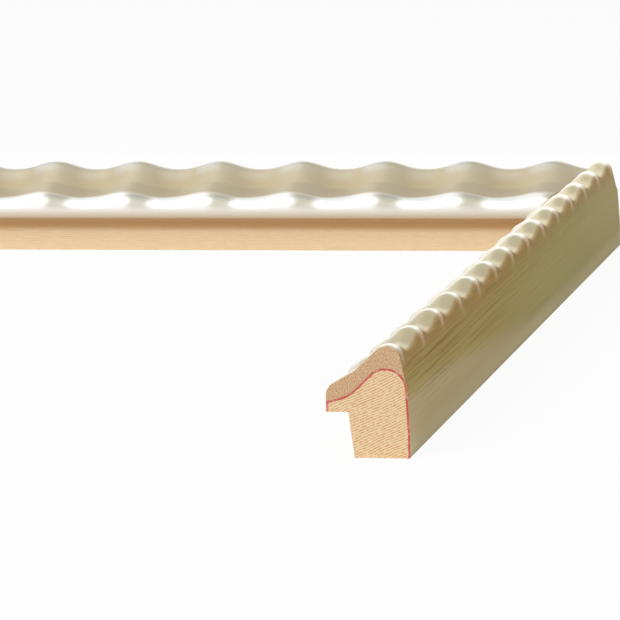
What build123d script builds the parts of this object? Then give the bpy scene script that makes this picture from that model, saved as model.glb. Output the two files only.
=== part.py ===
"""Mitred corner of picture frame moulding with a wavy gilded top.

Two lengths of the same moulding meet at a 45 degree mitre. Each length is three pieces
bonded to each other: a pine core with a rabbet, a thin red coat over its lip, top and outer
side, and a moulded composition cap whose waves run across the rail.

The corner lies on its back. X runs along the far rail and Y along the near rail, +Z is up,
and the outer corner is at (+X, +Y). Millimetres.
"""

import os
from math import ceil, cos, pi, radians, sin, tan

from build123d import *

# The frame corner
leg_length = 406.4
rail_width = 23.3

# The pine core
rabbet_width = 6.2
rabbet_height = 12.8
rabbet_lean = 1.5
lip_thickness = 2.45
foot_radius = 0.8
side_straight = 7.5
side_lean = 2.7
side_radius = 100.0
slope_angle = 43.5
crown_radius = 5.4
scoop_inset = 16.9
scoop_height = 16.7
scoop_radius = 11.4

# The red coat on the core
coat_thickness = 0.6

# The cap on the crest of a wave
nose_height = 19.7
nose_radius = 3.8
bend_inset = 15.0
bend_height = 24.6
bend_radius = 6.4
peak_inset = 3.6
peak_height = 35.3
peak_radius = 4.0
feather_angle = 23.0
feather_bite = 0.05

# The waves across the rail
wave_pitch = 30.6
wave_sharpness = 1.25
nose_relief = 1.2
bend_relief = 2.8
peak_relief = 3.5
steps_per_wave = 8

# The last crest of each rail, back from the crest line's corner
crest_inset = 5.6
near_crest_setback = 0.0
far_crest_setback = 17.3

lip_top = rabbet_height + lip_thickness
rabbet_inset = rail_width - rabbet_width
lip_inset = rail_width - coat_thickness
rails = {"near_rail": near_crest_setback, "far_rail": far_crest_setback}

# The near rail's cut end, seen from outside, and the mitre, facing the far rail
cut_plane = Plane(
    origin=(leg_length / 2, -leg_length / 2, 0), x_dir=(1, 0, 0), z_dir=(0, -1, 0)
)
mitre_plane = Plane(origin=(0, 0, 0), z_dir=(-1, 1, 0))


def core_side(height):
    """X of the core's leaning outer side at a height."""
    return -coat_thickness - (height - side_straight) * tan(radians(side_lean))


def core_peak():
    """Corner where the leaning side and the slope would meet without the round crown."""
    lean = tan(radians(side_lean))
    slope = tan(radians(slope_angle))
    run = scoop_inset + core_side(scoop_height)
    height = scoop_height + run * slope / (1 + slope * lean)
    return core_side(height), height


def crown_centre():
    """Centre of the round crown, which touches the leaning side and the slope."""
    peak_x, peak_z = core_peak()
    reach = crown_radius / sin(radians(90 + side_lean - slope_angle) / 2)
    aim = radians(270 - side_lean - slope_angle) / 2
    return peak_x + reach * cos(aim), peak_z - reach * sin(aim)


def cap_feather():
    """Where the cap runs out on the coat's crown, a touch inside the coat."""
    centre_x, centre_z = crown_centre()
    radius = crown_radius + coat_thickness - feather_bite
    aim = radians(feather_angle)
    return centre_x + radius * cos(aim), centre_z + radius * sin(aim)


def wave_height(phase):
    """1 on the crest of a wave and 0 in its broad valley."""
    return ((1 + cos(phase)) / 2) ** wave_sharpness


# The core's section, seen from the near cut end
with BuildSketch() as core_section:
    with BuildLine():
        FilletPolyline(
            (-rabbet_inset + rabbet_lean, 0),
            (-coat_thickness, 0),
            (-coat_thickness, side_straight),
            core_peak(),
            (-scoop_inset, scoop_height),
            (-lip_inset, lip_top),
            (-lip_inset, rabbet_height),
            (-rabbet_inset, rabbet_height),
            radius=[0, foot_radius, side_radius, crown_radius, scoop_radius, 0, 0, 0],
            close=True,
        )
    make_face()

# The coat follows the core up the lip's face, over the crown and down to the foot
with BuildSketch() as coat_section:
    with BuildLine():
        Polyline(
            (-rail_width, rabbet_height),
            (-rail_width, peak_height),
            (coat_thickness, peak_height),
            (coat_thickness, 0),
            (-coat_thickness - foot_radius, 0),
            (-coat_thickness - foot_radius, side_straight),
            (-scoop_inset, lip_top),
            (-lip_inset, rabbet_height),
            close=True,
        )
    make_face()
    grown = offset(
        core_section.sketch, amount=coat_thickness, kind=Kind.INTERSECTION, mode=Mode.PRIVATE
    )
    add(grown, mode=Mode.INTERSECT)
    add(core_section.sketch, mode=Mode.SUBTRACT)


def cap_section(depth):
    """The cap and all below it, its corners sunk by a share of the wave's relief."""
    with BuildSketch() as section:
        with BuildLine():
            FilletPolyline(
                (-rail_width, lip_top),
                (-rail_width, nose_height - depth * nose_relief),
                (-bend_inset, bend_height - depth * bend_relief),
                (-peak_inset, peak_height - depth * peak_relief),
                cap_feather(),
                (-crest_inset, lip_top),
                radius=[0, nose_radius, bend_radius, peak_radius, 0, 0],
                close=True,
            )
        make_face()
    return section.sketch


# One wave, from valley to valley, with its crest on the cut end's plane
with BuildPart() as wave:
    for step in range(steps_per_wave + 1):
        phase = 2 * pi * step / steps_per_wave - pi
        with BuildSketch(cut_plane.offset(-wave_pitch * phase / (2 * pi))):
            add(cap_section(1 - wave_height(phase)))
    loft(ruled=True)


os.makedirs("parts", exist_ok=True)

# The near rail is cut at the mitre, and the far rail is its mirror image in the mitre
for rail, crest_setback in rails.items():
    with BuildPart() as core:
        with BuildSketch(cut_plane):
            add(core_section.sketch)
        extrude(amount=-leg_length)
        split(bisect_by=mitre_plane, keep=Keep.BOTTOM)
        if rail == "far_rail":
            mirror(about=mitre_plane, mode=Mode.REPLACE)

    with BuildPart() as coat:
        with BuildSketch(cut_plane):
            add(coat_section.sketch)
        extrude(amount=-leg_length)
        split(bisect_by=mitre_plane, keep=Keep.BOTTOM)
        if rail == "far_rail":
            mirror(about=mitre_plane, mode=Mode.REPLACE)

    last_crest = leg_length - crest_inset - crest_setback
    waves_before = ceil(last_crest / wave_pitch)
    first_crest = last_crest - waves_before * wave_pitch
    with BuildPart() as cap:
        with Locations(*[(0, first_crest + wave_pitch * i) for i in range(waves_before + 2)]):
            add(wave.part)
        with BuildSketch(cut_plane):
            add([core_section.sketch, coat_section.sketch])
        extrude(amount=-leg_length, mode=Mode.SUBTRACT)
        split(bisect_by=cut_plane, keep=Keep.BOTTOM)
        split(bisect_by=mitre_plane, keep=Keep.BOTTOM)
        if rail == "far_rail":
            mirror(about=mitre_plane, mode=Mode.REPLACE)

    core.part.label = rail + "_core"
    coat.part.label = rail + "_coat"
    cap.part.label = rail + "_cap"
    for piece in (core, coat, cap):
        export_step(piece.part, "parts/" + piece.part.label + ".step")
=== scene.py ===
# %% [markdown]
# # A corner of wavy, silvered frame moulding
#
# Two rails of picture frame moulding meet at a mitre. Each rail is a pine core with a thin
# red coat on its top and outer side, and a moulded brown cap whose waves run across it. Toned
# silver leaf covers what shows, and the sawn end shows the three layers.
#
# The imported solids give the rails' places, lengths and widths. The cores are straight lengths
# of one section, so they stay as they are, with a pine finish. The coats and the caps are made
# again here as smooth surfaces, because light runs along a polished wave and shows every facet
# of a coarse one.

from math import cos, pi, radians, sin, tan

import bmesh
import bpy
import numpy as np
from mathutils import Matrix, Vector


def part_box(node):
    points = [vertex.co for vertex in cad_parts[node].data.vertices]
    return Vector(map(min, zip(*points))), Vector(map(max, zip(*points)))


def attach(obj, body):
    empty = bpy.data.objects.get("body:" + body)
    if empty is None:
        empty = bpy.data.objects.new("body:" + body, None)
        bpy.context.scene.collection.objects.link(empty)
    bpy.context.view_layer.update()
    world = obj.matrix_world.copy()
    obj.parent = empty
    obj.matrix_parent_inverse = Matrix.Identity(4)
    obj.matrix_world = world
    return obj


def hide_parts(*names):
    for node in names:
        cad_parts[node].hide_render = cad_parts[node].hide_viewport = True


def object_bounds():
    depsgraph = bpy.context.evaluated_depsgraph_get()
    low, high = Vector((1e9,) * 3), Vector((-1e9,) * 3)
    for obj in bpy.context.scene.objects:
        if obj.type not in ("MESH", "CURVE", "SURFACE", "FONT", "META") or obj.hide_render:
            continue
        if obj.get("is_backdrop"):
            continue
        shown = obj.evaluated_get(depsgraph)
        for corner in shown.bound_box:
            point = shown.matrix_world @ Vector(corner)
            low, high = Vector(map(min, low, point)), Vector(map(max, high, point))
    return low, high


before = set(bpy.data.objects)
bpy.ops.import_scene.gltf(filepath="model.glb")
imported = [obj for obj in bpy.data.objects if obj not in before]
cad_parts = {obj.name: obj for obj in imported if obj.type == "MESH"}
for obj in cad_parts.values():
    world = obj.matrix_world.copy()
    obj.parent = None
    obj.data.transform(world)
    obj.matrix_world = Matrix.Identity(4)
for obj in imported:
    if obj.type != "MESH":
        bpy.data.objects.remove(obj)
cad_low, cad_high = (np.array(corner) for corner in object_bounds())

MM = 0.001
half = cad_high[0] / MM
leg = half - cad_low[0] / MM
core_box, coat_box = (np.array(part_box("near_rail_" + part)) / MM for part in ("core", "coat"))
rail_width = half - coat_box[0, 0]
coat = half - core_box[1, 0]
print(f"legs {leg:.1f} mm, rail {rail_width:.1f} mm wide, coat {coat:.2f} mm")

# %% [markdown]
# ## The view
#
# The camera is a long lens set low and to the right, so the far rail is almost side on and
# the near rail runs back from its sawn end. The lens's length in pixels came from lining up
# the section, both rails' edges and the wave crests with the picture. It isn't shifted.

# %% Camera
picture_width = 620
lens_pixels = 4609.7
camera_place = Vector((0.43926, -1.42269, 0.23729))
turn, tilt, roll = radians(12.175), radians(-8.937), radians(1.587)

camera = bpy.data.objects.new("camera", bpy.data.cameras.new("camera"))
bpy.context.scene.collection.objects.link(camera)
camera.data.sensor_width = 36.0
camera.data.lens = lens_pixels * camera.data.sensor_width / picture_width
camera.data.clip_end = 50.0
camera.matrix_world = (
    Matrix.Translation(camera_place)
    @ Matrix.Rotation(turn, 4, "Z")
    @ Matrix.Rotation(tilt + pi / 2, 4, "X")
    @ Matrix.Rotation(-roll, 4, "Z")
)
bpy.context.scene.camera = camera
print(f"lens {camera.data.lens:.1f} mm")

# %% [markdown]
# ## The moulding's section
#
# A moulding is drawn as a section: straight runs with round corners. Here a section is a row
# of corners in millimetres, each an inset from the outer face and a height above the back.
# The rounding works on whole arrays of corners, so a section can change along a rail.

# %% Round corners
def unit(vectors):
    """Each vector divided by its length."""
    return vectors / np.linalg.norm(vectors, axis=-1, keepdims=True)


def round_corner(before, corner, after, radius):
    """Centre and tangent points of the circle that touches both sides of a corner.

    The tangent points lie radius / tan(half the corner's angle) from the corner. The centre
    lies radius / sin(half the angle) from it, on the line that halves the angle.
    """
    back, ahead = unit(before - corner), unit(after - corner)
    half_angle = np.arccos((back * ahead).sum(-1, keepdims=True)) / 2
    reach = radius / np.tan(half_angle)
    centre = corner + unit(back + ahead) * radius / np.sin(half_angle)
    return centre, corner + back * reach, corner + ahead * reach


def along_arc(centre, start, end, share):
    """Points at shares of the arc from start to end, and their radius lines."""
    first, last = start - centre, end - centre
    cross = first[..., 0] * last[..., 1] - first[..., 1] * last[..., 0]
    angle = np.arctan2(cross, (first * last).sum(-1)) * share
    quarter_on = np.stack([-first[..., 1], first[..., 0]], -1)
    arm = first * np.cos(angle)[..., None] + quarter_on * np.sin(angle)[..., None]
    return centre + arm, unit(arm)


# %% [markdown]
# The core's top and side are one outline. The coat's outer face is the same outline moved out
# along its normals. The cap has an outline of its own above them, and its corners sink as a
# wave falls from its crest to the valley, which keeps its arcs round all the way.
#
# The sizes below are millimetres and degrees. A relief is how far a corner sinks in a valley.

# %% Sizes of the section
rabbet_height, lip_thickness, foot_radius = 12.8, 2.45, 0.8
side_straight, side_lean, side_radius = 7.5, 2.7, 100.0
slope_angle, crown_radius = 43.5, 5.4
scoop_inset, scoop_height, scoop_radius = 16.9, 16.7, 11.4
feather_angle = 23.0

nose_height, nose_relief, nose_radius = 19.7, 1.2, 3.8
bend_inset, bend_height, bend_relief, bend_radius = 15.0, 24.6, 2.8, 6.4
peak_inset, peak_height, peak_relief, peak_radius = 3.6, 35.3, 3.5, 4.0

wave_pitch, wave_sharpness, crest_inset = 30.6, 1.25, 5.6
crest_setback = {"near_rail": 0.0, "far_rail": 17.3}
print(f"{leg / wave_pitch:.1f} waves in a leg")


# %% Outlines of the core and the coat
def core_side(height):
    """Inset of the core's leaning outer side at a height."""
    return coat + (height - side_straight) * tan(radians(side_lean))


def core_corners():
    """Corners of the core from the lip over the crown to the foot, before rounding."""
    lean, slope = tan(radians(side_lean)), tan(radians(slope_angle))
    run = scoop_inset - core_side(scoop_height)
    peak = scoop_height + run * slope / (1 + slope * lean)
    return np.array([
        (rail_width - coat, rabbet_height + lip_thickness),
        (scoop_inset, scoop_height),
        (core_side(peak), peak),
        (coat, side_straight),
        (coat, 0.0),
        (rail_width / 2, 0.0),
    ])


def core_outline(samples=24):
    """Points and normals of the core's rounded outline, from the lip's lower edge.

    Straight runs join the arcs, so only the arcs are sampled. The normal of a point on a
    convex arc is its radius line, and on the hollow scoop it is the reverse.
    """
    corners = core_corners()
    share = np.linspace(0, 1, samples)
    points, normals = [(corners[0, 0], rabbet_height), corners[:1]], []
    for place, radius in enumerate((scoop_radius, crown_radius, side_radius, foot_radius), 1):
        arc, arm = along_arc(*round_corner(*corners[place - 1 : place + 2], radius), share)
        points.append(arc)
        normals.append(-arm if place == 1 else arm)
    normals = [(1.0, 0.0), normals[0][:1], *normals]
    return np.vstack(points), np.vstack(normals)


def coat_outline():
    """The core's outline moved out by the coat, with a sharp lip, and cut off at the back.

    Two faces moved out by the coat meet where the lip's face line crosses the slope's: along
    the slope's normal (a, b), that is coat * (1 - a) / b above the core's corner.
    """
    points, normals = core_outline()
    outer = points + normals * coat
    outer[1] = rail_width, points[1, 1] + coat * (1 - normals[1, 0]) / normals[1, 1]
    outer[:, 1] = np.maximum(outer[:, 1], 0.0)
    return outer


core_line = core_outline()[0]
coat_line = coat_outline()
print("coat from", coat_line[0].round(2), "to", coat_line[-1].round(2))


# %% Outline of the cap at any place along a rail
def wave_phase(along, rail):
    """Radians of the wave past the rail's last crest, at a distance from the sawn end."""
    last_crest = leg - crest_inset - crest_setback[rail]
    return 2 * pi * (along - last_crest) / wave_pitch


def wave_height(along, rail):
    """1 on a crest and 0 in the broad valley: half of 1 + cosine, raised to a power."""
    return ((1 + np.cos(wave_phase(along, rail))) / 2) ** wave_sharpness


def cap_feather():
    """Where the cap runs out on the coat, at an angle above the middle of the crown."""
    centre = round_corner(*core_corners()[1:4], crown_radius)[0]
    aim = radians(feather_angle)
    return centre + (crown_radius + coat) * np.array((-cos(aim), sin(aim)))


# Samples on each stretch of the cap's outline: runs and arcs in turn
cap_samples = (6, 14, 6, 10, 8, 26, 14)


def cap_outline(depth):
    """Points (row, column) of the cap's outline, sunk by a share of the relief.

    Each column belongs to one stretch, a run or an arc, and lies at a fixed share of it. The
    corners move in a straight line with depth, so a whole stretch is worked out at once.
    """
    start = coat_line[1]
    feather = cap_feather()
    points, column = [], 0
    for stretch, count in enumerate(cap_samples):
        sunk = depth[:, column : column + count]
        still = np.ones_like(sunk)
        corners = [
            np.stack([still * start[0], still * start[1]], -1),
            np.stack([still * rail_width, nose_height - sunk * nose_relief], -1),
            np.stack([still * bend_inset, bend_height - sunk * bend_relief], -1),
            np.stack([still * peak_inset, peak_height - sunk * peak_relief], -1),
            np.stack([still * feather[0], still * feather[1]], -1),
        ]
        radii = (nose_radius, bend_radius, peak_radius)
        arcs = [round_corner(*corners[i : i + 3], radii[i]) for i in range(3)]
        last = stretch == len(cap_samples) - 1
        share = np.linspace(0, 1, count, endpoint=last)
        if stretch % 2:
            points.append(along_arc(*arcs[stretch // 2], share)[0])
        else:
            here = arcs[stretch // 2 - 1][2] if stretch else corners[0]
            there = corners[-1] if last else arcs[stretch // 2][1]
            points.append(here + (there - here) * share[:, None])
        column += count
    return np.concatenate(points, axis=1)


crest_top = cap_outline(np.zeros((1, sum(cap_samples))))[..., 1].max()
print(f"crests {crest_top:.2f} mm high, solids {cad_high[2] / MM:.2f} mm")


# %% [markdown]
# ## From section to rail
#
# A rail runs from its sawn end to the mitre, where each line along it stops at leg length
# less its own inset. The cap's inset changes with the wave, so where a line stops is found by
# stepping: guess, work out the inset there, and guess again. The far rail is the near one
# with X and Y changed over, which is what mirroring in the mitre does.

# %% Places on a rail
def on_rail(rail, inset, along, height):
    """Points in metres from an inset, a distance from the sawn end, and a height."""
    across, run = half - inset, along - half
    x, y = (across, run) if rail == "near_rail" else (run, across)
    return np.stack([x, y, height], -1) * MM


def cap_grid(rail, rows_per_wave=22, guesses=6):
    """Inset, along and height of the cap's top surface on a grid of rows and columns."""
    columns = sum(cap_samples)
    rows = int(leg / wave_pitch * rows_per_wave)
    share = np.linspace(0, 1, rows)[:, None]
    inset = np.full((rows, columns), rail_width / 2)
    for _ in range(guesses):
        along = share * (leg - inset)
        outline = cap_outline(1 - wave_height(along, rail))
        inset, height = outline[..., 0], outline[..., 1]
    return inset, share * (leg - inset), height


def resampled(line, count):
    """Points evenly spaced along a line of points."""
    length = np.append(0, np.cumsum(np.linalg.norm(np.diff(line, axis=0), axis=1)))
    place = np.linspace(0, length[-1], count)
    return np.stack([np.interp(place, length, line[:, axis]) for axis in (0, 1)], -1)


# %% [markdown]
# Both the cap and the coat are closed skins: an outer surface, an inner one with as many
# columns, and two end faces that join them column by column. Faces wind one way on the near
# rail and the other way on the far one, because changing X and Y over turns a shape inside
# out. The sawn end and the skin's two side edges take the second material.

# %% A closed skin from two surfaces
def skin_mesh(name, rail, outer, inner, materials):
    """A mesh from outer and inner grids (row, column, xyz) of the same size.

    Quads join neighbours on each grid, and more quads join the grids along the first and
    last rows and both side columns. Where the grids meet, merging takes the empty ones away.
    """
    rows, columns = outer.shape[:2]
    vertices = np.concatenate([outer.reshape(-1, 3), inner.reshape(-1, 3)])
    top = np.arange(rows * columns).reshape(rows, columns)
    under = top + rows * columns

    def quads(a, b, c, d):
        return np.stack([a.ravel(), b.ravel(), c.ravel(), d.ravel()], -1)

    skin = [
        quads(top[:-1, :-1], top[:-1, 1:], top[1:, 1:], top[1:, :-1]),
        quads(under[:-1, :-1], under[1:, :-1], under[1:, 1:], under[:-1, 1:]),
        quads(top[-1, :-1], top[-1, 1:], under[-1, 1:], under[-1, :-1]),
    ]
    ends = [
        quads(top[:-1, 0], top[1:, 0], under[1:, 0], under[:-1, 0]),
        quads(top[:-1, -1], under[:-1, -1], under[1:, -1], top[1:, -1]),
        quads(top[0, :-1], under[0, :-1], under[0, 1:], top[0, 1:]),
    ]
    faces = np.concatenate(skin + ends)
    slots = np.repeat([0, 1], [sum(map(len, skin)), sum(map(len, ends))])
    if rail == "near_rail":
        faces = faces[:, ::-1]
    mesh = bpy.data.meshes.new(name)
    mesh.from_pydata(vertices, [], faces.tolist())
    for material in materials:
        mesh.materials.append(material)
    mesh.polygons.foreach_set("material_index", slots)
    mesh.polygons.foreach_set("use_smooth", np.ones(len(faces), dtype=bool))
    return merged(mesh)


def merged(mesh, sharp_angle=40, touching=1e-7):
    """The mesh with its doubles merged, empty faces gone and its folds marked sharp."""
    work = bmesh.new()
    work.from_mesh(mesh)
    bmesh.ops.remove_doubles(work, verts=work.verts, dist=touching)
    bmesh.ops.dissolve_degenerate(work, edges=work.edges, dist=touching)
    work.to_mesh(mesh)
    work.free()
    mesh.set_sharp_from_angle(angle=radians(sharp_angle))
    return mesh


# %% [markdown]
# ## Shader expressions
#
# A finish is a sum of simple fields: distance, noise, stripes. Written as Python expressions
# they stay readable, and each operation adds one node. A Paint holds a material's nodes, and
# a Field is one output of one node.

# %% Fields and paints
class Field:
    """A node's output that adds a Math node when it is used in an expression."""

    def __init__(self, paint, socket):
        self.paint, self.socket = paint, socket

    def math(self, operation, *values):
        return self.paint.node("Math", {"operation": operation}, dict(enumerate(values)))

    def __add__(self, other):
        return self.math("ADD", self, other)

    def __radd__(self, other):
        return self.math("ADD", other, self)

    def __sub__(self, other):
        return self.math("SUBTRACT", self, other)

    def __rsub__(self, other):
        return self.math("SUBTRACT", other, self)

    def __mul__(self, other):
        return self.math("MULTIPLY", self, other)

    def __rmul__(self, other):
        return self.math("MULTIPLY", other, self)

    def __truediv__(self, other):
        return self.math("DIVIDE", self, other)


class Paint:
    """A material or a world whose nodes are made by calls."""

    def __init__(self, owner):
        self.owner = owner
        owner.use_nodes = True
        self.tree = owner.node_tree
        self.tree.nodes.clear()

    def node(self, kind, settings=None, values=None, output=0):
        """A node of a type, its settings made first, then its sockets' values or links."""
        made = self.tree.nodes.new("ShaderNode" + kind)
        for name, value in (settings or {}).items():
            setattr(made, name, value)
        for name, value in (values or {}).items():
            if isinstance(value, Field):
                self.tree.links.new(value.socket, made.inputs[name])
            else:
                made.inputs[name].default_value = value
        if output is not None:
            return Field(self, made.outputs[output])

    def mix(self, factor, first, second):
        """A colour between two, by a factor from 0 to 1."""
        return self.node("Mix", {"data_type": "RGBA"}, {0: factor, 6: first, 7: second}, output=2)

    def over(self, colour, mask, layer, strength=1.0):
        """A colour with a layer over it where the mask is 1, as much as its strength says."""
        return self.mix(mask * strength, colour, layer)

    def ramp(self, value, low, high):
        """0 below low, 1 above high, and a smooth step between them."""
        values = {"Value": value, "From Min": low, "From Max": high}
        return self.node("MapRange", {"interpolation_type": "SMOOTHSTEP"}, values)

    def fade(self, value, low, high):
        """1 below low, 0 above high, and a smooth step between them."""
        return 1 - self.ramp(value, low, high)

    def vector(self, x, y, z):
        return self.node("CombineXYZ", None, {0: x, 1: y, 2: z})

    def noise(self, place, scale=1.0, detail=2.0, roughness=0.5):
        """Cloudy noise from 0 to 1, about 0.5 on average."""
        values = {"Vector": place, "Scale": scale, "Detail": detail, "Roughness": roughness}
        return self.node("TexNoise", None, values)

    def rail_place(self, rail):
        """Inset, along and height in millimetres, from the object's own coordinates."""
        place = self.node("TexCoord", output="Object")
        x, y, z = (self.node("SeparateXYZ", None, {0: place}, output=axis) for axis in range(3))
        across, run = (x, y) if rail == "near_rail" else (y, x)
        return half - across / MM, run / MM + half, z / MM

    def bump(self, height, distance):
        """Normals of a surface raised by a distance in metres where height is 1."""
        return self.node("Bump", None, {"Height": height, "Distance": distance})

    def finish(self, **values):
        """Ends the material with a Principled shader. Its sockets are named in lower case."""
        sockets = {}
        for name, value in values.items():
            sockets[name.replace("_", " ").title().replace("Ior", "IOR")] = value
        shader = self.node("BsdfPrincipled", None, sockets)
        self.node("OutputMaterial", None, {"Surface": shader}, output=None)
        print(f"{self.owner.name}: {len(self.tree.nodes)} nodes")
        return self.owner


def srgb(red, green, blue):
    """A colour given in 0 to 255 as linear light, with full alpha."""
    part = np.array((red, green, blue)) / 255
    linear = np.where(part > 0.04045, ((part + 0.055) / 1.055) ** 2.4, part / 12.92)
    return (*linear.tolist(), 1.0)


# %% [markdown]
# ## Pine
#
# Sawn pine shows the tree's rings: pale early wood, then a thin band of orange late wood. The
# rings here are nearly flat sheets that run the length of the rail and rise towards its outer
# side, so one solid pattern gives fine stripes on the sawn end and long grain on the sides.
#
# In the numbers below, places are millimetres. A pair is where a mask starts to change and
# where it has changed in full, as a place, a share of a ring or a level of noise.

# %% Rings
ring_rise, ring_gap, ring_drift = radians(24), 0.68, 2.5
late_start, late_stop = (0.30, 0.80), (0.84, 1.0)
dash_cut, dash_rest = (0.38, 0.60), 0.2


def late_wood_mask(paint, inset, along, height):
    """A stripe in each ring, bent by a slow noise and cut into dashes by a fine one.

    The distance across the rings over their gap counts the rings, and its fraction is the
    share of a ring, which gives the stripe.
    """
    across_rings = inset * sin(ring_rise) + height * cos(ring_rise)
    along_rings = height * sin(ring_rise) - inset * cos(ring_rise)
    drift = paint.noise(paint.vector(inset * 0.07, along * 0.004, height * 0.07))
    turns = across_rings / ring_gap + drift * ring_drift
    ring = turns.math("FRACT", turns)
    stripe = paint.ramp(ring, *late_start) * paint.fade(ring, *late_stop)
    dashes = paint.noise(paint.vector(along_rings * 0.8, across_rings * 2.2, along * 0.3), detail=4)
    return stripe * (dash_rest + (1 - dash_rest) * paint.ramp(dashes, *dash_cut))


# %% [markdown]
# The saw dulls the wood and leaves browner patches and a few dark pores. A planed side shows the
# rings faintly, and a fine brown fibre. The rabbet wall is browner in its top inner corner, a
# painted shade under the lip.

# %% Pine finish
early_wood = srgb(237, 213, 172)
late_wood = srgb(198, 128, 48)
fibre_brown = srgb(204, 158, 104)
lip_shade_brown = srgb(194, 146, 92)
patch_brown = srgb(210, 160, 96)
sawdust = srgb(190, 164, 130)
pore_brown = srgb(128, 88, 52)

sawn_depth = 0.02, 0.2
planed_rings = 0.25
fibre_cut, patch_cut, pore_cut = (0.60, 0.78), (0.48, 0.64), (0.67, 0.74)
lip_shade_insets, lip_shade_heights = (15.2, 16.2), (6.4, 9.2)
lip_shade_top, lip_shade_fading = (10.0, 12.0), 0.5


def pine(rail):
    paint = Paint(bpy.data.materials.new("pine_" + rail))
    inset, along, height = paint.rail_place(rail)
    sawn = paint.fade(along, *sawn_depth)
    late = late_wood_mask(paint, inset, along, height)
    fibre = paint.noise(paint.vector(inset * 5, along * 0.10, height * 5), detail=3)
    rings = late * (planed_rings + (1 - planed_rings) * sawn)
    colour = paint.mix(rings, early_wood, late_wood)
    colour = paint.over(colour, paint.ramp(fibre, *fibre_cut), fibre_brown, strength=0.35)

    # Painted shade: the rabbet wall is browner in its inner corner under the lip, half as strong
    # just under the lip.
    lip_shade = paint.ramp(height, *lip_shade_heights) * paint.ramp(inset, *lip_shade_insets)
    lip_shade = lip_shade * (1 - lip_shade_fading * paint.ramp(height, *lip_shade_top)) * (1 - sawn)
    colour = paint.over(colour, lip_shade, lip_shade_brown, strength=0.85)

    patches = paint.noise(paint.vector(inset, along * 0.1, height), scale=2.6, detail=3)
    colour = paint.over(colour, paint.ramp(patches, *patch_cut) * sawn, patch_brown, strength=0.45)
    colour = paint.over(colour, sawn, sawdust, strength=0.15)
    pores = paint.noise(paint.vector(inset, along * 0.2, height), scale=2.8)
    colour = paint.over(colour, paint.ramp(pores, *pore_cut) * sawn, pore_brown, strength=0.8)
    grain = paint.bump(fibre * 0.6 + late * 0.4, distance=0.00005)
    return paint.finish(base_color=colour, roughness=0.75, normal=grain)


# %% [markdown]
# ## Composition and red coat
#
# The cap is pressed from wood flour and glue, so its sawn face is an even brown, redder in
# places, with fine dark and light specks and a few pits. The red coat is clay in glue. It
# shows as a line in the sawn end, deep red in some stretches and pinker where the saw has
# smeared it.

# %% Composition finish
plain_composition = srgb(209, 176, 136)
red_composition = srgb(203, 160, 122)
dark_speck = srgb(146, 104, 68)
light_speck = srgb(230, 204, 172)
pit_brown = srgb(124, 90, 62)
redness_cut, dark_cut, light_cut, pit_cut = (0.42, 0.60), (0.50, 0.62), (0.34, 0.46), (0.66, 0.72)


def composition(rail):
    paint = Paint(bpy.data.materials.new("composition_" + rail))
    place = paint.vector(*paint.rail_place(rail))
    speck = paint.noise(place, scale=3.0, detail=3, roughness=0.7)
    redness = paint.noise(place, scale=1.7, detail=2)
    pits = paint.noise(place, scale=2.9)
    colour = paint.mix(paint.ramp(redness, *redness_cut), plain_composition, red_composition)
    colour = paint.over(colour, paint.ramp(speck, *dark_cut), dark_speck, strength=0.85)
    colour = paint.over(colour, paint.fade(speck, *light_cut), light_speck, strength=0.65)
    colour = paint.over(colour, paint.ramp(pits, *pit_cut), pit_brown, strength=0.7)
    grain = paint.bump(speck, distance=0.00005)
    return paint.finish(base_color=colour, roughness=0.85, normal=grain)


# %% Red coat finish
deep_red = srgb(188, 74, 68)
smeared_pink = srgb(212, 128, 120)
smear_cut = 0.46, 0.62


def red_coat(rail):
    paint = Paint(bpy.data.materials.new("red_coat_" + rail))
    place = paint.vector(*paint.rail_place(rail))
    smear = paint.noise(place, scale=0.5, detail=3, roughness=0.6)
    colour = paint.mix(paint.ramp(smear, *smear_cut), deep_red, smeared_pink)
    return paint.finish(base_color=colour, roughness=0.6)


# %% [markdown]
# ## Silver leaf
#
# Leaf is metal, so most of what it shows is the light around it. Its warm tone comes from a toner
# brushed over it, with a clear varnish on top, and highlights are painted into its colour on the
# lip's nose and on the crests.
# The photographed rails differ in tone and gloss, so each has its own numbers.
#
# Each effect is a mask from 0 to 1, worked out from the place on the rail and on its wave. The
# cosine of the wave's phase is 1 on each crest and -1 in each valley. Moved by some radians,
# it picks out one flank of every wave.

# %% Numbers of each rail's leaf
# The nose and crest numbers are strengths of painted highlights, and the pale and cool ones are
# strengths of painted highlight spots.
nose_highlight_strength = {"near_rail": 0.35, "far_rail": 1.0}
crest_highlight_strength = {"near_rail": 1.0, "far_rail": 0.0}
valley_highlight_strength = {"near_rail": 0.0, "far_rail": 0.5}
crest_flank_highlight_strength = {"near_rail": 0.0, "far_rail": 0.85}
leaf_tones = {
    "near_rail": (srgb(207, 197, 161), srgb(195, 181, 134)),
    "far_rail": (srgb(198, 191, 170), srgb(190, 174, 140)),
}
leaf_roughness = {"near_rail": 0.30, "far_rail": 0.38}
varnish_gloss = {"near_rail": 0.2, "far_rail": 1.0}
varnish_roughness = {"near_rail": 0.10, "far_rail": 0.25}


# %% Places on the leaf
class LeafPlace:
    """Where the leaf is shaded: inset, along and height in millimetres, and the phase."""

    def __init__(self, paint, rail):
        self.inset, self.along, self.height = paint.rail_place(rail)
        self.point = paint.vector(self.inset, self.along, self.height)
        self.phase = wave_phase(self.along, rail)

    def swing(self, past=0.0):
        """Cosine of the phase, which is 1 at this many radians past each crest."""
        return self.phase.math("COSINE", self.phase - past)


# %% [markdown]
# On top, the leaf is darker toward the hollow and in the valleys, in soft clouds: toner kept there,
# and painted shade copying duller reflections there. The far rail has a painted highlight in each
# valley and a cooler one just before each crest, both near its outer edge.

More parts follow.
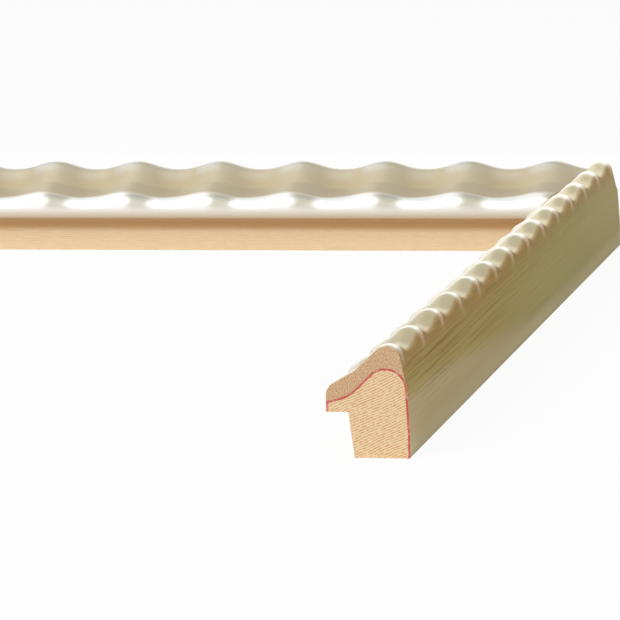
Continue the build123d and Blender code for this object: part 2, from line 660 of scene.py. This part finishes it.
# %% Toned leaf on top
# Painted highlights: a pale spot in each valley and a cool one before each crest.
valley_highlight_tone, crest_flank_highlight_tone = srgb(214, 206, 184), srgb(208, 210, 202)
hollow_insets = 6.0, 13.0
valley_past, valley_swing, valley_insets = 2.9, (0.0, 1.0), (9.0, 13.0)
cool_past, cool_swing, cool_insets = -0.7, (0.35, 1.0), (7.5, 12.0)


def toned_leaf(paint, rail, at):
    """Two tones mixed by the toner's share, and the painted highlight spots over them.

    The share is half the hollow's mask, plus 0.3 of a cloud, plus half the wave's fall.
    """
    # Painted shade, over toner kept there: the leaf is darker toward the hollow and in the valleys.
    hollow = paint.ramp(at.inset, *hollow_insets)
    cloud = paint.noise(at.point, scale=0.10, detail=3)
    fall = 0.5 - 0.5 * at.swing()
    tone = paint.mix(hollow * 0.5 + cloud * 0.3 + fall * 0.5, *leaf_tones[rail])

    # Painted highlight spots on the far rail.
    valley = paint.ramp(at.swing(valley_past), *valley_swing) * paint.fade(at.inset, *valley_insets)
    tone = paint.over(tone, valley, valley_highlight_tone, strength=valley_highlight_strength[rail])
    cool = paint.ramp(at.swing(cool_past), *cool_swing) * paint.fade(at.inset, *cool_insets)
    return paint.over(tone, cool, crest_flank_highlight_tone, strength=crest_flank_highlight_strength[rail])


# %% [markdown]
# A painted highlight runs along the round nose at the lip. It reaches a little farther up the slope
# on the flank that rises to a crest, a painted shade cuts a duller notch into it past each crest,
# and its lower edge is browner. The near rail's crests carry a painted highlight as well, a little
# wider toward the corner.

# %% Painted highlights on the nose and crests
# Painted highlight colours: white on the nose and crests, and grey for the nose's notch of painted
# shade.
nose_highlight_white, notch_shade_grey = srgb(250, 249, 245), srgb(188, 184, 168)
nose_lower_tone, crest_highlight_white = srgb(190, 172, 143), srgb(246, 243, 232)
nose_insets, nose_heights = (19.0, 20.8), (12.6, 18.2)
flank_past, flank_reach = -1.75, 0.8
notch_past, notch_swing, notch_heights = 0.75, (0.20, 1.0), (14.0, 19.0)
crest_insets, crest_swing = (2.2, 4.0), (0.86, 0.99)
crest_widening, widening_along = 0.30, (60.0, 380.0)


def painted_nose_highlight(paint, rail, at):
    """Mask of the painted highlight band, mask of its notches of painted shade, and the band's
    colour.
    """
    reach = at.inset + flank_reach * at.swing(flank_past)
    band = paint.ramp(reach, *nose_insets) * nose_highlight_strength[rail]
    notch = paint.ramp(at.swing(notch_past), *notch_swing) * paint.ramp(at.height, *notch_heights)
    notch = notch * band
    silver = paint.mix(notch, nose_highlight_white, notch_shade_grey)
    silver = paint.mix(paint.fade(at.height, *nose_heights), silver, nose_lower_tone)
    return band, notch, silver


def painted_crest_highlight(paint, rail, at):
    """Mask of the painted highlight on the crests. Its lower limit of swing falls along the rail,
    so it widens.
    """
    low, high = crest_swing
    low = low - crest_widening * paint.ramp(at.along, *widening_along)
    # Painted highlight along each crest, wider toward the corner.
    crest = paint.ramp(at.swing(), low, high) * paint.ramp(at.inset, *crest_insets)
    return crest * crest_highlight_strength[rail]


# %% [markdown]
# The outer side has a thick dull toner, greener toward the corner. Low down near the sawn end it is
# paler, a painted sheen, and along the foot it is paler, painted light. It is a little paler at the
# corner too. Lines from the brush show most under the waves near the sawn end, and bend a little
# with the waves.

# %% Toner on the outer side
warm_toner = srgb(214, 188, 118)
green_toner = srgb(214, 200, 138)
side_pale_tone = srgb(235, 212, 163)
foot_painted_light = srgb(255, 242, 196)
brush_brown = srgb(178, 136, 76)
sheen_along, sheen_lean, sheen_heights = (220.0, 320.0), 13.0, (14.5, 19.5)
corner_along, corner_paling = (300.0, 400.0), 0.4
green_along, green_lean = (40.0, 240.0), 4.0
foot_heights = 1.0, 7.5
ripple_heights, ripple_depth = (12.0, 26.0), 0.12
line_cut, line_low, line_top, line_along = (0.48, 0.62), (9.0, 18.0), (23.5, 27.0), (60.0, 300.0)
faint_lines, strong_lines = 0.12, 0.75


def brush_marks(paint, at):
    """Noise drawn out along the rail, whose rows rise and fall a little with the waves."""
    ripple = at.swing() * paint.ramp(at.height, *ripple_heights) * ripple_depth
    rows = paint.vector(at.inset * 0.3, at.along * 0.012, at.height * 2.2 + ripple)
    return paint.noise(rows, detail=5, roughness=0.65)


def side_toner(paint, at, brush):
    """The toner's colour. Its painted sheen leans, so it ends nearer the sawn end higher up."""
    # Painted sheen: paler low down near the sawn end, leaning. The side is also a little paler at
    # the corner.
    side_paling = paint.fade(at.along + sheen_lean * at.height, *sheen_along)
    side_paling = side_paling * paint.fade(at.height, *sheen_heights)
    side_paling = side_paling + corner_paling * paint.ramp(at.along, *corner_along)
    green = paint.ramp(at.along - green_lean * at.height, *green_along)
    toner = paint.mix(green, warm_toner, green_toner)
    toner = paint.mix(side_paling, toner, side_pale_tone)
    # Painted light: paler along the foot.
    toner = paint.over(toner, paint.fade(at.height, *foot_heights), foot_painted_light, strength=0.8)

    under_waves = paint.ramp(at.height, *line_low) * paint.fade(at.height, *line_top)
    under_waves = under_waves * paint.fade(at.along, *line_along)
    lines = paint.ramp(brush, *line_cut) * (faint_lines + strong_lines * under_waves)
    return paint.mix(lines, toner, brush_brown)


# %% [markdown]
# Brown shows where the leaf is worn through: in specks along the waves' outer shoulders, and on the
# lip's lower edge. All the parts then come together. Metal and varnish go down where the finish is
# dull, which is on the outer side, in the worn specks and in the painted notches of shade.

# %% Silver leaf finish
speck_brown, edge_brown = srgb(202, 140, 94), srgb(176, 138, 102)
shoulder_start, shoulder_stop = (1.2, 2.6), (3.1, 4.0)
speck_cut, even_wear = (0.46, 0.60), 0.15
edge_heights, edge_insets = (12.8, 13.6), (22.0, 23.0)
side_insets, side_widening = (2.5, 4.2), (0.7, 1.0)


def worn_places(paint, at):
    """Masks of the specks on the shoulders and of the lip's lower edge."""
    speck = paint.noise(at.point, scale=2.4, detail=5, roughness=0.75)
    shoulder = paint.ramp(at.inset, *shoulder_start) * paint.fade(at.inset, *shoulder_stop)
    edge = paint.fade(at.height, *edge_heights) * paint.ramp(at.inset, *edge_insets)
    return shoulder * (even_wear + (1 - even_wear) * paint.ramp(speck, *speck_cut)), edge


def silver_leaf(rail):
    paint = Paint(bpy.data.materials.new("silver_leaf_" + rail))
    at = LeafPlace(paint, rail)
    brush = brush_marks(paint, at)
    # Painted highlight on the nose, with notches of painted shade.
    nose, notch, silver = painted_nose_highlight(paint, rail, at)
    specks, edge = worn_places(paint, at)
    outer_side = paint.fade(at.inset + paint.ramp(at.swing(), *side_widening), *side_insets)

    colour = paint.mix(nose, toned_leaf(paint, rail, at), silver)
    # Painted highlight on the near rail's crests.
    colour = paint.mix(painted_crest_highlight(paint, rail, at), colour, crest_highlight_white)
    colour = paint.mix(outer_side, colour, side_toner(paint, at, brush))
    colour = paint.over(colour, specks, speck_brown, strength=0.8)
    colour = paint.over(colour, edge, edge_brown, strength=0.45)

    dull = outer_side + (1 - outer_side) * (specks * 0.5 + notch * 0.9)
    return paint.finish(
        base_color=colour,
        metallic=0.95 - 0.85 * dull,
        roughness=leaf_roughness[rail] + 0.16 * dull,
        specular_ior_level=0.0,
        coat_weight=varnish_gloss[rail] * (1 - dull),
        coat_roughness=varnish_roughness[rail],
        normal=paint.bump(brush, distance=0.00002),
    )


# %% [markdown]
# ## Dressing the rails
#
# Each rail gets its coat and its cap as closed skins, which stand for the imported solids. The
# pine cores stay as packed, and take the pine finish. The cap's underside is the stretch of
# the coat's outline from the lip to the feather, with as many columns as its top.

# %% Pieces
def place_piece(name, mesh, node):
    """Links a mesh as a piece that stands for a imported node."""
    piece = bpy.data.objects.new(name, mesh)
    bpy.context.scene.collection.objects.link(piece)
    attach(piece, "root")
    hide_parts(node)
    triangles = sum(len(face.vertices) - 2 for face in mesh.polygons)
    print(f"{name}: {triangles} triangles")


def straight_run(rail, line, rows=2):
    """A line of inset and height points carried from the sawn end to the mitre, as a grid."""
    share = np.linspace(0, 1, rows)[:, None]
    inset, height = line[:, 0] + 0 * share, line[:, 1] + 0 * share
    return on_rail(rail, inset, share * (leg - inset), height)


def cap_seat(rail, rows, columns):
    """The cap's underside on the coat, as a grid with the rows and columns of its top."""
    feather = cap_feather()
    last = np.argmin(np.linalg.norm(coat_line - feather, axis=1))
    seat = resampled(np.vstack([coat_line[1:last], feather]), columns)
    return straight_run(rail, seat, rows)


# %% Rails
for rail in ("near_rail", "far_rail"):
    leaf = silver_leaf(rail)
    core_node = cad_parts[rail + "_core"]
    core_node.data.materials.clear()
    core_node.data.materials.append(pine(rail))

    top = on_rail(rail, *cap_grid(rail))
    seat = cap_seat(rail, *top.shape[:2])
    cap = skin_mesh(rail + "_wave_cap", rail, top, seat, (leaf, composition(rail)))
    place_piece(rail + "_wave_cap", cap, rail + "_cap")

    outer, inner = (straight_run(rail, line) for line in (coat_line, core_line))
    skin = skin_mesh(rail + "_red_coat", rail, outer, inner, (leaf, red_coat(rail)))
    place_piece(rail + "_red_coat", skin, rail + "_coat")

# %% [markdown]
# ## Floor and light
#
# The picture is cut out on white, so the floor and the world are white to the camera and in
# reflections. One big soft panel stands in front and to the left, like a window. It lights the
# sawn end and the rabbet wall, leaves the near rail's outer side in shade, and shows in the
# white band along the far rail's rounded lip. Two weak panels at the back soften the shade: one
# high up on the left, and a small low one behind the far rail.

# %% Floor
def plain_floor(half_size=6.0, glow=0.94):
    """A square sheet that shades as white paint, and glows by a share where it is seen."""
    mesh = bpy.data.meshes.new("floor")
    sides = half_size * np.array([(-1, -1, 0), (1, -1, 0), (1, 1, 0), (-1, 1, 0)])
    mesh.from_pydata(sides, [], [(0, 1, 2, 3)])
    floor = bpy.data.objects.new("floor", mesh)
    bpy.context.scene.collection.objects.link(floor)
    paint = Paint(bpy.data.materials.new("floor_white"))
    camera_ray, glossy_ray = (
        paint.node("LightPath", output=f"Is {kind} Ray") for kind in ("Camera", "Glossy")
    )
    shaded = paint.node("BsdfDiffuse", None, {"Color": srgb(246, 246, 246)})
    white = paint.node("Emission", None, {"Strength": 1.0})
    seen = camera_ray + glossy_ray
    surface = paint.node("MixShader", None, {0: seen * glow, 1: shaded, 2: white})
    paint.node("OutputMaterial", None, {"Surface": surface}, output=None)
    mesh.materials.append(paint.owner)
    floor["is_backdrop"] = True
    print(f"floor {2 * half_size:.0f} m across")


plain_floor()


# %% Lights
def soft_panel(name, place, aim, width, height, radiance):
    """A rectangular lamp turned to face a point. Its power is radiance times area times pi."""
    lamp = bpy.data.lights.new(name, "AREA")
    lamp.shape = "RECTANGLE"
    lamp.size, lamp.size_y = width, height
    lamp.energy = radiance * width * height * pi
    panel = bpy.data.objects.new(name, lamp)
    bpy.context.scene.collection.objects.link(panel)
    panel.location = place
    panel.rotation_euler = (Vector(aim) - Vector(place)).to_track_quat("-Z", "Y").to_euler()
    panel.visible_camera = False
    print(f"{name}: {lamp.energy:.1f} W")


def from_middle(azimuth, elevation, distance):
    """A place at a distance from the origin. Azimuth, in degrees, turns from +Y to +X."""
    turned, raised = radians(azimuth), radians(elevation)
    flat = distance * cos(raised)
    return flat * sin(turned), flat * cos(turned), distance * sin(raised)


middle = (0.0, 0.0, 0.0)
behind_far_rail, level_aim = (0.10, 0.46, 0.14), (0.10, 0.0, 0.14)
soft_panel("window_panel", from_middle(-150, 40, 2.4), middle, width=2.0, height=2.6, radiance=3.8)
soft_panel("side_panel", from_middle(-46, 50, 2.2), middle, width=0.9, height=0.9, radiance=0.5)
soft_panel("back_panel", behind_far_rail, level_aim, width=0.4, height=0.26, radiance=0.5)

# %% World
fill_level = 0.30
sky = Paint(bpy.data.worlds.new("white_room"))
camera_ray, glossy_ray, clear_ray = (
    sky.node("LightPath", output=f"Is {kind} Ray") for kind in ("Camera", "Glossy", "Transmission")
)
strength = fill_level + (1 - fill_level) * (camera_ray + glossy_ray + clear_ray)
background = sky.node("Background", None, {"Strength": strength})
sky.node("OutputWorld", None, {"Surface": background}, output=None)
bpy.context.scene.world = sky.owner
print(f"the world lights shades at {fill_level:.2f}")

bpy.context.scene.view_settings.view_transform = "Standard"
